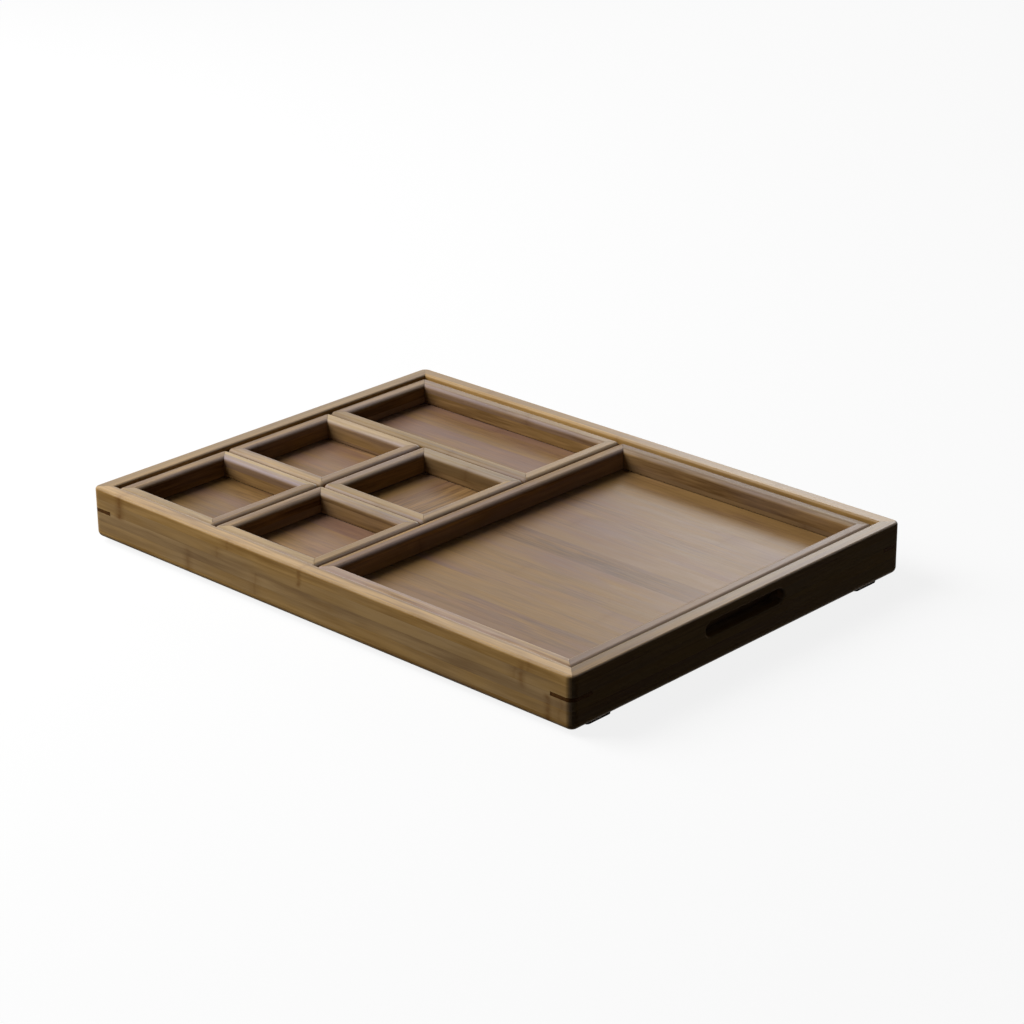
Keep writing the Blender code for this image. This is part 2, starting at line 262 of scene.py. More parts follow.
class Where:
    """Tests of where an edge lies."""

    @staticmethod
    def level(edge: Edge, axis: int, value: float) -> bool:
        """Say whether both ends of an edge have one coordinate."""
        return all(abs(vert.co[axis] - value) < HAIR for vert in edge.verts)

    @staticmethod
    def corner(edge: Edge) -> bool:
        """Say whether two faces meet sharply along an edge."""
        return len(edge.link_faces) == 2 and edge.calc_face_angle() > SHARP

    @staticmethod
    def runs(edge: Edge, axis: int) -> bool:
        """Say whether an edge runs along an axis, and is no part of a rounding."""
        return abs(edge.verts[0].co[axis] - edge.verts[1].co[axis]) > LONG

    @staticmethod
    def outer_upright(edge: Edge) -> bool:
        """Say whether an edge stands upright on the outer face, which is y = 0."""
        return Where.level(edge, Y_AXIS, 0.0) and not Where.level(edge, Z_AXIS, edge.verts[0].co.z)


class Wire:
    """A shader value on which sums are written as on a number."""

    def __init__(self, graph: "Graph", socket: bpy.types.NodeSocket) -> None:
        """Hold a socket of a material's graph."""
        self.graph = graph
        self.socket = socket

    def maths(self, operation: str, *values: Value) -> "Wire":
        """Return the result of a Math node on some values."""
        return self.graph.wire("ShaderNodeMath", {"operation": operation}, dict(enumerate(values)))

    def __add__(self, other: Value) -> "Wire":
        """Return the sum."""
        return self.maths("ADD", self, other)

    def __radd__(self, other: Number) -> "Wire":
        """Return the sum with a number in front."""
        return self.maths("ADD", other, self)

    def __sub__(self, other: Value) -> "Wire":
        """Return the difference."""
        return self.maths("SUBTRACT", self, other)

    def __rsub__(self, other: Number) -> "Wire":
        """Return the difference from a number."""
        return self.maths("SUBTRACT", other, self)

    def __mul__(self, other: Value) -> "Wire":
        """Return the product."""
        return self.maths("MULTIPLY", self, other)

    def __rmul__(self, other: Number) -> "Wire":
        """Return the product with a number in front."""
        return self.maths("MULTIPLY", other, self)

    def __abs__(self) -> "Wire":
        """Return the size without its sign."""
        return self.maths("ABSOLUTE", self)

    def floor(self) -> "Wire":
        """Return the whole number below."""
        return self.maths("FLOOR", self)

    def fract(self) -> "Wire":
        """Return what is left above the whole number below."""
        return self.maths("FRACT", self)

    def least(self, other: Value) -> "Wire":
        """Return the lower of two values."""
        return self.maths("MINIMUM", self, other)

    def most(self, other: Value) -> "Wire":
        """Return the higher of two values."""
        return self.maths("MAXIMUM", self, other)

    def held(self) -> "Wire":
        """Return the value kept between 0 and 1."""
        return self.most(0.0).least(1.0)

    def rise(self, start: float, end: float) -> "Wire":
        """Return a smooth step from 0 to 1 between two values."""
        return self.graph.wire(
            "ShaderNodeMapRange", {"interpolation_type": "SMOOTHSTEP", "clamp": True},
            {"Value": self, "From Min": start, "From Max": end, "To Min": 0.0, "To Max": 1.0},
        )

    def fall(self, start: float, end: float) -> "Wire":
        """Return a smooth step from 1 to 0 between two values."""
        return 1.0 - self.rise(start, end)


Three = tuple[Wire, Wire, Wire]


class Graph:
    """The node tree of one material or of the world."""

    MIX_FACTOR, MIX_FIRST, MIX_SECOND, MIX_RESULT = 0, 6, 7, 2
    LACQUER_ROUGHNESS = 0.32
    LACQUER_IOR = 1.5

    def __init__(self, owner: Union[Material, bpy.types.World]) -> None:
        """Start with an empty tree."""
        owner.use_nodes = True
        self.owner = owner
        self.tree = owner.node_tree
        self.tree.nodes.clear()

    @classmethod
    def material(cls, name: str) -> "Graph":
        """Return the empty tree of a new material."""
        return cls(bpy.data.materials.new(name))

    def node(self, kind: str, settings: Optional[dict] = None, sockets: Optional[dict] = None) -> Node:
        """Add a node.

        Args:
            kind: The node's type.
            settings: Its properties, which are set first.
            sockets: A value or a wire for each input, by name or number.

        Returns:
            The node.
        """
        made = self.tree.nodes.new(kind)
        for key, value in (settings or {}).items():
            setattr(made, key, value)
        for key, value in (sockets or {}).items():
            target = made.inputs[key]
            if isinstance(value, Wire):
                self.tree.links.new(value.socket, target)
            else:
                target.default_value = value
        return made

    def wire(self, kind: str, *given: Optional[dict], output: Union[int, str] = 0) -> Wire:
        """Add a node and return one of its outputs."""
        return Wire(self, self.node(kind, *given).outputs[output])

    def split(self, kind: str, whole: Wire) -> Three:
        """Return the three parts of a vector or a colour, taken apart by a node of that type."""
        made = self.node(kind, None, {0: whole})
        return Wire(self, made.outputs[0]), Wire(self, made.outputs[1]), Wire(self, made.outputs[2])

    def place(self, turn: float) -> Three:
        """Return a point's coordinates along the fibres, across them and up.

        Args:
            turn: Turn in degrees that brings the fibres onto X.

        Returns:
            The three coordinates in metres.
        """
        spot = self.wire("ShaderNodeTexCoord", output="Object")
        turned = self.wire(
            "ShaderNodeMapping", {"vector_type": "POINT"},
            {"Vector": spot, "Rotation": (0.0, 0.0, math.radians(turn))},
        )
        return self.split("ShaderNodeSeparateXYZ", turned)

    def facing(self) -> Three:
        """Return the three parts of the surface's normal."""
        return self.split("ShaderNodeSeparateXYZ", self.wire("ShaderNodeNewGeometry", output="Normal"))

    def point(self, *parts: Value) -> Wire:
        """Join three values into a vector."""
        return self.wire("ShaderNodeCombineXYZ", None, dict(enumerate(parts)))

    def chance(self, spot: Wire) -> Three:
        """Return three random values, each from 0 to 1, that hang on a vector."""
        drawn = self.wire(
            "ShaderNodeTexWhiteNoise", {"noise_dimensions": "3D"}, {"Vector": spot}, output="Color"
        )
        return self.split("ShaderNodeSeparateColor", drawn)

    def noise(self, spot: Wire, detail: float, rough: float = 0.5) -> Wire:
        """Return soft noise from 0 to 1 at a spot, with so many finer layers of that strength."""
        return self.wire(
            "ShaderNodeTexNoise", {"noise_dimensions": "3D"},
            {"Vector": spot, "Scale": 1.0, "Detail": detail, "Roughness": rough},
        )

    def blend(
        self, factor: Value, first: Union[Wire, Colour], second: Union[Wire, Colour],
        mode: str = "MIX",
    ) -> Wire:
        """Blend two colours.

        Args:
            factor: Share of the second.
            first: The first colour.
            second: The second colour.
            mode: The Mix node's way of blending.

        Returns:
            The blended colour.
        """
        sockets = {self.MIX_FACTOR: factor}
        for number, value in ((self.MIX_FIRST, first), (self.MIX_SECOND, second)):
            sockets[number] = value if isinstance(value, Wire) else (*value, 1.0)
        settings = {"data_type": "RGBA", "blend_type": mode, "clamp_factor": True}
        return self.wire("ShaderNodeMix", settings, sockets, output=self.MIX_RESULT)

    def tint(self, colour: Wire, gain: Colour) -> Wire:
        """Return a colour with each part times its gain."""
        return self.blend(1.0, colour, gain, "MULTIPLY")

    def surface(
        self, colour: Wire, roughness: Wire, height: Wire, depth: float, specular: float,
        coat: Value = 0.0,
    ) -> Material:
        """Close the tree with a Principled shader.

        Args:
            colour: Base colour.
            roughness: Roughness.
            height: Height of the relief, from 0 to 1.
            depth: What a height of 1 is in metres.
            specular: Specular level of the whole surface.
            coat: How much clear lacquer lies on it.

        Returns:
            The material.
        """
        relief = self.wire("ShaderNodeBump", None, {"Strength": 1.0, "Distance": depth, "Height": height})
        shader = self.wire(
            "ShaderNodeBsdfPrincipled", None,
            {
                "Base Color": colour, "Roughness": roughness, "Normal": relief, "Metallic": 0.0,
                "Specular IOR Level": specular, "Coat Weight": coat,
                "Coat Roughness": self.LACQUER_ROUGHNESS, "Coat IOR": self.LACQUER_IOR,
            },
        )
        self.node("ShaderNodeOutputMaterial", None, {0: shader})
        return self.owner


@dataclass(frozen=True)
class NodeMark:
    """A bamboo node that shows on one board: its place along and up, its reach and its strength."""

    along: float
    low: float
    high: float
    reach: float
    strength: float
    waver: float = 0.0014
    line: tuple[float, float] = (0.0003, 0.0020)
    fade_out: float = 0.0020
    fade_in: float = 0.0015

    def mask(self, along: Wire, up: Wire, medium: Wire) -> Wire:
        """Return where the mark shows.

        Args:
            along: Coordinate along the fibres.
            up: Height.
            medium: Streak noise, which breaks the mark up.

        Returns:
            The mask.
        """
        gap = abs(along + (medium - 0.5) * self.waver - self.along)
        shape = gap.fall(*self.line) * 0.3 + gap.fall(self.reach * 0.1, self.reach) * 0.7
        above = up.rise(self.low - self.fade_out, self.low + self.fade_in)
        below = up.fall(self.high - self.fade_in, self.high + self.fade_out)
        return shape * (above * below) * (0.55 + medium * 0.9) * self.strength


@dataclass(frozen=True)
class Streaks:
    """Noise drawn out along the fibres: its changes per metre, its shift between strips, its layers."""

    along: float
    across: float
    shift: float
    detail: float
    rough: float = 0.5


@dataclass(frozen=True)
class Look:
    """How a piece differs from the finish that it follows, as factors."""

    tone: float = 1.0
    lacquer: float = 1.0
    # Scales the painted top light and sheen on upper faces, together with their rubbing.
    wear_and_top_light: float = 1.0
    streaks: float = 1.0


@dataclass(frozen=True)
class Bamboo:
    """Lacquered carbonised bamboo, laminated from strips.

    The strips are `strip` wide and `layer` thick. Each has a tone, streaks and nodes of its own.
    """

    slot: str
    grain: Grain
    dark: Colour
    light: Colour
    cool: Colour
    gold: Colour
    strip: float
    layer: float
    strip_tone: float
    coarse: float
    medium: float
    fine: float
    cool_share: float
    gold_share: float
    node_strength: float
    lacquer: float
    name: str = ""
    seed: float = 0.0
    # Strength of the painted top light and sheen on upper faces, together with their rubbing.
    wear_and_top_light: float = 0.0
    node_spacing: float = 0.24
    joint_strength: float = 0.14
    roughness: float = 0.46
    specular: float = 0.02
    lacquer_slope: float = 0.0
    lacquer_low: float = 0.0
    relief: float = 0.00004
    marks: tuple[NodeMark, ...] = ()

    COARSE = Streaks(9.0, 105.0, 31.0, 1.0)
    MEDIUM = Streaks(20.0, 340.0, 57.0, 2.0)
    FINE = Streaks(44.0, 720.0, 73.0, 2.0, 0.6)
    CLOUD = Streaks(16.0, 75.0, 19.0, 2.0)
    SOFT_RANGE = (0.30, 0.70)
    FINE_RANGE = (0.28, 0.72)
    COOL_RANGE = (0.50, 0.92)
    GOLD_RANGE = (0.55, 0.95)
    DRIFT_PER_SEED = 1.7
    FIBRES_ALONG = 60.0
    FIBRES_ACROSS = 4200.0
    FIBRE_TONE = 0.30
    STAIN = (0.52, 0.40, 0.30)
    GLUE_SHARE = 0.45
    GLUE_LINE = (0.00006, 0.00026)
    RING_WAVER = 0.0016
    RING_LINE = (0.0002, 0.0016)
    RING_ZONE = (0.0008, 0.0075)
    RING_SHOWN = (0.45, 0.75)
    LACQUERED = (0.35, 0.92)
    LACQUER_FADE = 0.002
    LACQUER_STREAK = 0.18
    ROUNDED = (0.80, 0.985)
    # Painted light: upper faces take a paler, bluer tint that paints the light from above and the lacquer's
    # sheen, together with real rubbing.
    LIT_TOP_RANGE = (0.20, 0.85)
    RUBBED_AND_LIT = (1.75, 2.05, 2.65)
    # Painted highlight: rounded edges pale toward a bluish tint that paints sheen, and toward a pale colour
    # that is part painted highlight, part bared wood.
    EDGE_SHEEN_TINT = (0.98, 1.09, 1.50)
    EDGE_SHEEN_SHARE = 0.8
    BARE_EDGE_HIGHLIGHT = (0.45, 0.335, 0.235)

    def varied(self, name: str, seed: float, look: Look) -> "Bamboo":
        """Return a finish cut from other strips, with a look and a seed of its own."""
        tones = (self.dark, self.light, self.cool, self.gold)
        dark, light, cool, gold = (tuple(part * look.tone for part in tone) for tone in tones)
        return replace(
            self, name=name, seed=seed, dark=dark, light=light, cool=cool, gold=gold,
            lacquer=self.lacquer * look.lacquer, wear_and_top_light=self.wear_and_top_light * look.wear_and_top_light,
            coarse=self.coarse * look.streaks, medium=self.medium * look.streaks,
            fine=self.fine * look.streaks,
        )

    def make(self) -> Material:
        """Build the material and return it."""
        graph = Graph.material(self.name)
        spot = graph.place(self.grain.value)
        along, across, up = spot
        lane = across * (1.0 / self.strip) + self.seed
        storey = up * (1.0 / self.layer) + self.seed
        first, second, third = graph.chance(graph.point(lane.floor(), storey.floor(), self.seed))
        coarse = self.streaks(graph, spot, first, self.COARSE).rise(*self.SOFT_RANGE)
        medium = self.streaks(graph, spot, second, self.MEDIUM).rise(*self.SOFT_RANGE)
        fine = self.streaks(graph, spot, third, self.FINE).rise(*self.FINE_RANGE)
        cloud = self.streaks(graph, spot, third, self.CLOUD)
        drifted = along * self.FIBRES_ALONG + self.seed * self.DRIFT_PER_SEED
        fibre = graph.noise(graph.point(drifted, across * self.FIBRES_ACROSS, up * self.FIBRES_ACROSS), 1.0)
        tone = (
            0.5
            + (first - 0.5) * (2.0 * self.strip_tone)
            + (coarse - 0.5) * self.coarse
            + (medium - 0.5) * self.medium
            + (fine - 0.5) * self.fine
            + (fibre - 0.5) * self.FIBRE_TONE
        )
        colour = graph.blend(tone.held(), self.dark, self.light)
        cool = (second * 0.55 + cloud * 0.85).rise(*self.COOL_RANGE) * self.cool_share
        colour = graph.blend(cool, colour, self.cool)
        gold = (third * 0.5 + (1.0 - cloud) * 0.9).rise(*self.GOLD_RANGE) * self.gold_share
        colour = graph.blend(gold, colour, self.gold)
        mark = self.node_rings(along, (first, second, third), medium)
        for place in self.marks:
            mark = mark.most(place.mask(along, up, medium))
        colour = graph.blend(mark.held(), colour, graph.tint(colour, self.STAIN))
        joint = self.joints(lane, self.strip).most(self.joints(storey, self.layer))
        glue = tuple(part * self.GLUE_SHARE for part in self.dark)
        colour = graph.blend(joint * self.joint_strength, colour, glue)
        # Painted light: lighter upper faces and highlighted rounded edges, besides rubbing and bared edges.
        if self.wear_and_top_light > 0.0:
            colour = self.worn_and_lit(graph, colour, medium)
        rough = self.roughness + (fine - 0.5) * 0.08 + (coarse - 0.5) * 0.06 + mark * 0.08
        height = fibre * 0.45 + fine * 0.30 + medium * 0.20 - joint * 0.35 + mark * 0.12
        amount = along * self.lacquer_slope + self.lacquer - (medium - 0.5) * self.LACQUER_STREAK
        lacquered = up.rise(self.lacquer_low, self.lacquer_low + self.LACQUER_FADE)
        coat = graph.facing()[2].rise(*self.LACQUERED) * lacquered * amount
        return graph.surface(colour, rough.held(), height.held(), self.relief, self.specular, coat.held())

    def streaks(self, graph: Graph, spot: Three, chance: Wire, size: Streaks) -> Wire:
        """Return streak noise.

        Args:
            graph: The material's graph.
            spot: Coordinates along the fibres, across them and up.
            chance: A random value of the strip, which shifts its streaks.
            size: The size of the streaks.

        Returns:
            The noise, from 0 to 1.
        """
        along, across, up = spot
        drift = self.seed * self.DRIFT_PER_SEED
        where = graph.point(
            along * size.along + chance * size.shift, across * size.across + drift, up * size.across
        )
        return graph.noise(where, size.detail, size.rough)

    def joints(self, lane: Wire, width: float) -> Wire:
        """Return a mask of the hair-thin glue lines between strips."""
        part = lane.fract()
        return (part.least(1.0 - part) * width).fall(*self.GLUE_LINE)

    def node_rings(self, along: Wire, chances: Three, medium: Wire) -> Wire:
        """Return a mask of each strip's nodes: a thin ring line in a soft darker zone.

        Args:
            along: Coordinate along the fibres.
            chances: The strip's random values.
            medium: Streak noise, which makes the line waver.

        Returns:
            The mask.
        """
        first, second, third = chances
        waver = along + (medium - 0.5) * self.RING_WAVER
        phase = (waver * (1.0 / self.node_spacing) + first * 7.3).fract()
        gap = abs(phase - 0.5) * self.node_spacing
        ring = gap.fall(*self.RING_LINE) * 0.45 + gap.fall(*self.RING_ZONE) * 0.55
        return ring * (second + third * 0.5).rise(*self.RING_SHOWN) * self.node_strength

    def worn_and_lit(self, graph: Graph, colour: Wire, medium: Wire) -> Wire:
        """Return the colour with painted light and rubbing: upper faces lightened by painted top light and
        sheen as well as rubbing, rounded edges paled by a painted highlight and bared.

        Args:
            graph: The material's graph.
            colour: The colour before wear.
            medium: Streak noise, which breaks the bared edges up.

        Returns:
            The colour with its painted light and rubbing.
        """
        east, north, top = graph.facing()
        # The rounded edges, which carry a painted highlight.
        edge = abs(east).most(abs(north)).most(abs(top)).fall(*self.ROUNDED)
        # Painted top light and sheen, with rubbing: the upper faces are lightened and blued by their facing.
        rubbed_and_lit = graph.tint(colour, self.RUBBED_AND_LIT)
        colour = graph.blend(top.rise(*self.LIT_TOP_RANGE) * self.wear_and_top_light, colour, rubbed_and_lit)
        # Painted sheen and highlight on the rounded edges, with bared wood at random.
        edge_sheen = graph.tint(colour, self.EDGE_SHEEN_TINT)
        colour = graph.blend(edge * self.EDGE_SHEEN_SHARE, colour, edge_sheen)
        return graph.blend(edge * (0.08 + medium * 0.14), colour, self.BARE_EDGE_HIGHLIGHT)


@dataclass(frozen=True)
class DarkSlip:
    """Dark bamboo cut across its fibres, as the corner slips show it."""

    name: str = "slip_end_grain"
    slot: str = "slip_bamboo"
    dark: Colour = (0.062, 0.024, 0.006)
    light: Colour = (0.125, 0.054, 0.013)
    pore: Colour = (0.030, 0.013, 0.005)
    pores_per_metre: float = 2600.0
    bands_per_metre: float = 320.0
    layers_per_metre: float = 900.0
    relief: float = 0.00004
    specular: float = 0.02

    def make(self) -> Material:
        """Build the material and return it."""
        graph = Graph.material(self.name)
        along, across, up = graph.place(0.0)
        pores = graph.noise(graph.point(*(axis * self.pores_per_metre for axis in (along, across, up))), 2.0)
        bands = graph.point(
            along * self.bands_per_metre, across * self.bands_per_metre, up * self.layers_per_metre
        )
        colour = graph.blend(graph.noise(bands, 2.0), self.dark, self.light)
        colour = graph.blend(pores.rise(0.56, 0.68), colour, self.pore)
        return graph.surface(colour, 0.5 + (pores - 0.5) * 0.2, pores, self.relief, self.specular)


@dataclass(frozen=True)
class PadRubber:
    """Dark matt rubber with a fine moulded grain and some dust."""

    name: str = "pad_rubber"
    slot: str = "foot_rubber"
    dark: Colour = (0.014, 0.009, 0.006)
    light: Colour = (0.026, 0.018, 0.013)
    dust: Colour = (0.060, 0.050, 0.042)
    grains_per_metre: float = 1800.0
    dust_per_metre: float = 160.0
    relief: float = 0.00006
    specular: float = 0.05

    def make(self) -> Material:
        """Build the material and return it."""
        graph = Graph.material(self.name)
        spot = graph.place(0.0)
        grain = graph.noise(graph.point(*(axis * self.grains_per_metre for axis in spot)), 2.0)
        dust = graph.noise(graph.point(*(axis * self.dust_per_metre for axis in spot)), 3.0)
        colour = graph.blend(grain, self.dark, self.light)
        colour = graph.blend(dust.rise(0.52, 0.75) * 0.25, colour, self.dust)
        return graph.surface(colour, 0.74 + (dust - 0.5) * 0.2, grain, self.relief, self.specular)


Finish = Union[Bamboo, DarkSlip, PadRubber]


class Finishes:
    """Every finish of the tray, each built once."""

    FRONT_MARKS = (
        NodeMark(-0.1725, 0.0205, 0.0345, 0.0062, 0.80),
        NodeMark(-0.1100, 0.0040, 0.0190, 0.0060, 0.40),
        NodeMark(-0.0130, 0.0240, 0.0345, 0.0030, 0.55),
        NodeMark(0.1610, 0.0180, 0.0330, 0.0050, 0.45),
        NodeMark(0.1800, 0.0030, 0.0190, 0.0045, 0.60),
    )
    BOARDS = {
        "front_board": (Grain.ALONG_X, 3.0, Look(), {"marks": FRONT_MARKS}),
        "back_board": (Grain.ALONG_X, 11.0, Look(lacquer=0.82), {}),
        # The end boards take darker copies of the board colour: painted shade, fitted to the shaded right
        # end.
        "right_board": (Grain.ALONG_Y, 5.0, Look(tone=0.64, lacquer=0.73), {"lacquer_slope": 1.3}),
        "left_board": (Grain.ALONG_Y, 6.0, Look(tone=0.66), {}),
    }

    def __init__(self) -> None:
        """Set the finishes up."""
        board = dict(
            slot="board_bamboo", dark=(0.170, 0.082, 0.024), light=(0.50, 0.312, 0.128),
            cool=(0.30, 0.205, 0.110), gold=(0.43, 0.245, 0.066), strip=0.0052, layer=0.0071,
            wear_and_top_light=0.04, strip_tone=0.18, coarse=0.54, medium=0.52, fine=0.28, cool_share=0.50,
            gold_share=0.40, node_strength=0.35, lacquer=1.0, lacquer_low=0.030,
        )
        # The rail colour is darker than the board's: painted shade on the rails' inner faces, whose tops the
        # painted top light lifts again.
        rail = dict(
            slot="rail_bamboo", dark=(0.090, 0.042, 0.013), light=(0.320, 0.190, 0.078),
            cool=(0.215, 0.142, 0.100), gold=(0.275, 0.165, 0.052), strip=0.0056, layer=0.0094,
            strip_tone=0.22, coarse=0.48, medium=0.46, fine=0.32, node_spacing=0.19,
            node_strength=0.35, lacquer=0.85, cool_share=0.6, gold_share=0.4,
        )
        floor = dict(
            dark=(0.092, 0.044, 0.018), light=(0.320, 0.186, 0.078), cool=(0.212, 0.122, 0.094),
            gold=(0.290, 0.170, 0.055), strip=0.0185, layer=0.05, strip_tone=0.12, coarse=0.36,
            medium=0.54, fine=0.50, cool_share=0.65, gold_share=0.50, lacquer=0.65,
            roughness=0.42, node_strength=0.20,
        )
        self.boards = {
            node: Bamboo(grain=grain, **board, **extra).varied(node + "_bamboo", seed, look)
            for node, (grain, seed, look, extra) in self.BOARDS.items()
        }
        # The cross rails' tops take far more painted top light and sheen than the side rails'.
        side_rail = Bamboo(grain=Grain.ALONG_Y, wear_and_top_light=0.18, **rail)
        self.rails = {
            Grain.ALONG_X: Bamboo(grain=Grain.ALONG_X, wear_and_top_light=0.63, **rail),
            Grain.ALONG_Y: side_rail.varied("side_rail_bamboo", 0.0, Look(tone=1.12)),
        }
        self.floors = {grain: Bamboo(slot="floor_bamboo", grain=grain, **floor) for grain in Grain}
        self.base = Bamboo(
            slot="base_bamboo", grain=Grain.ALONG_X, name="base_panel_bamboo", seed=9.0, **floor
        )
        self.slip = DarkSlip()
        self.rubber = PadRubber()
        self.built: dict[str, Material] = {}

    def dress(self, item: Item, finish: Finish) -> None:
        """Give a piece its finish.

        Args:
            item: A new piece or a node of the frame.
            finish: The finish.
        """
        if finish.name not in self.built:
            self.built[finish.name] = finish.make()
        material = self.built[finish.name]
        if item.data.materials:
            item.material_slots[0].material = material
        else:
            item.data.materials.append(material)


@dataclass
class SubAssembly:
    """Pieces that move together, as one body of the frame."""

    body: str
    finishes: Finishes

    def stand(self, item: Item, node: str, finish: Finish) -> Item:
        """Finish a piece and set it in place of its node.

        Args:
            item: The piece.
            node: The node that it stands for.
            finish: Its finish.

        Returns:
            The piece.
        """
        Bench.polish(item)
        self.finishes.dress(item, finish)
        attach(item, self.body)
        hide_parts(node)
        return item

    @staticmethod
    def outward(turns: int, distance: float) -> Vector:
        """Return the way from the centre to a side, which is the front one turned by quarter turns."""
        return Matrix.Rotation(turns * math.pi / 2, 3, "Z") @ Vector((0.0, -distance, 0.0))


@dataclass
class OuterTray(SubAssembly):
    """The four mitred boards with their slips, the base panel and the pads."""

    length: float = 0.395
    width: float = 0.285
    bottom: float = 0.0025
    top: float = 0.0350
    thick: float = 0.010
    rim_radius: float = 0.0015
    foot_radius: float = 0.0040
    corner_radius: float = 0.0050
    mitre_gap: float = 0.00012
    groove_low: float = 0.0087
    groove_high: float = 0.0143
    groove_depth: float = 0.0050
    cutter_play: float = 0.004
    slip_leg: float = 0.016
    slip_low: float = 0.0199
    slip_high: float = 0.0221
    slip_gap: float = 0.0002
    kerf_gap: float = 0.0001
    slot_length: float = 0.068
    slot_low: float = 0.0195
    slot_high: float = 0.0290
    slot_edge: float = 0.0012
    pad_length: float = 0.020
    pad_width: float = 0.005
    pad_outer: float = 0.0040
    pad_height: float = 0.0022
    pad_inset: float = 0.026
    pad_easing: float = 0.0006

    def build(self) -> Iterator[Item]:
        """Build every piece and yield it."""
        yield from self.boards()
        yield from self.slips()
        yield from self.pads()
        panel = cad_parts["base_panel"]
        self.finishes.dress(panel, self.finishes.base)

    def plain_board(self, name: str, length: float) -> Item:
        """Model a board along X, with its outer face on y = 0 and looking along -Y.

        Args:
            name: Name of the piece.
            length: Length of its outer face.

        Returns:
            The board, mitred, rounded and grooved.
        """
        half = length / 2
        item = Bench.block(name, (-half, 0.0, self.bottom), (half, self.thick, self.top))

        def on_foot(edge: Edge, inner: bool) -> bool:
            """Say whether an edge is on the underside, and on the inner face or away from it."""
            return Where.level(edge, Z_AXIS, self.bottom) and Where.level(edge, Y_AXIS, self.thick) == inner

        Bench.edit(item)
        Bench.round_off(item, Where.outer_upright, self.corner_radius, steps=12)
        Bench.round_off(item, lambda edge: on_foot(edge, False), self.foot_radius, steps=10)
        Bench.round_off(
            item, lambda edge: Where.level(edge, Z_AXIS, self.top) or on_foot(edge, True), self.rim_radius,
            steps=5,
        )
        Bench.groove(item, self.groove_low, self.groove_high, self.groove_depth)
        Bench.mitre(half, self.mitre_gap)
        Bench.done()
        return item

    def cut_kerfs(self, item: Item, half: float) -> None:
        """Saw the kerf for a slip across both corners of a board that lies along X.

        Args:
            item: The board.
            half: Half the length of its outer face.
        """
        depth = self.slip_leg / math.sqrt(2)
        reach = depth + self.cutter_play
        low = self.slip_low - self.kerf_gap
        high = self.slip_high + self.kerf_gap
        for side in (-1.0, 1.0):
            cutter = Bench.block("kerf", (-depth, -reach, low), (reach - depth, reach, high))
            cutter.rotation_euler = (0.0, 0.0, math.atan2(-1.0, side))
            cutter.location = (side * half, 0.0, 0.0)
            Bench.settle(cutter)
            Bench.subtract(item, cutter)

    def cut_handle(self, item: Item) -> None:
        """Cut the handle slot through an end board that lies along X, and ease its rims."""
        radius = (self.slot_high - self.slot_low) / 2
        centre = (self.slot_high + self.slot_low) / 2
        reach = self.slot_length / 2
        low = (-reach, -self.cutter_play, self.slot_low)
        cutter = Bench.block("handle", low, (reach, self.thick + self.cutter_play, self.slot_high))

        def on_rim(edge: Edge) -> bool:
            """Say whether an edge is on the rim of the slot."""
            flat = Where.level(edge, Y_AXIS, 0.0) or Where.level(edge, Y_AXIS, self.thick)
            along = all(abs(vert.co.x) < reach + HAIR for vert in edge.verts)
            inside = all(abs(vert.co.z - centre) < radius + HAIR for vert in edge.verts)
            return flat and along and inside and Where.corner(edge)

        Bench.edit(cutter)
        Bench.round_off(cutter, lambda edge: Where.runs(edge, Y_AXIS), radius - HAIR, steps=12)
        Bench.done()
        Bench.subtract(item, cutter)
        Bench.edit(item)
        Bench.round_off(item, on_rim, self.slot_edge, steps=4)
        Bench.done()

    def boards(self) -> Iterator[Item]:
        """Build the long boards and the end boards, and yield them."""
        plans = (
            ("front_board", "back_board", self.length, self.width, 0, False),
            ("right_board", "left_board", self.width, self.length, 1, True),
        )
        for name, other, length, across, turn, slotted in plans:
            plain = self.plain_board("plain_" + name, length)
            if slotted:
                self.cut_handle(plain)
            self.cut_kerfs(plain, length / 2)
            for piece, turns in ((name, turn), (other, turn + 2)):
                item = Bench.copy(plain, piece + "_wood", turns, tuple(self.outward(turns, across / 2)))
                yield self.stand(item, piece, self.finishes.boards[piece])
            Bench.discard(plain)

    def slips(self) -> Iterator[Item]:
        """Build the slips, one for each corner, and yield them."""
        leg = self.slip_leg
        plain = Bench.block("plain_slip", (-leg, -leg, self.slip_low), (0.0, 0.0, self.slip_high))
        Bench.edit(plain)
        inward = Vector((-1.0, -1.0, 0.0)).normalized()
        Bench.saw(Vector((-leg, 0.0, 0.0)) - inward * self.slip_gap, inward)
        centre = Vector((-self.corner_radius, -self.corner_radius, 0.0))
        steps = 12
        for step in range(steps):
            angle = math.radians(90.0) * (step + 0.5) / steps
            outward = Vector((math.cos(angle), math.sin(angle), 0.0))
            Bench.saw(centre + outward * self.corner_radius, outward)
        Bench.done()
        corners = (
            ("back_right", 1.0, 1.0), ("back_left", -1.0, 1.0),
            ("front_left", -1.0, -1.0), ("front_right", 1.0, -1.0),
        )
        for turns, (side, east, north) in enumerate(corners):
            node = "corner_slip_" + side
            move = (east * self.length / 2, north * self.width / 2, 0.0)
            yield self.stand(Bench.copy(plain, node + "_wood", turns, move), node, self.finishes.slip)
        Bench.discard(plain)

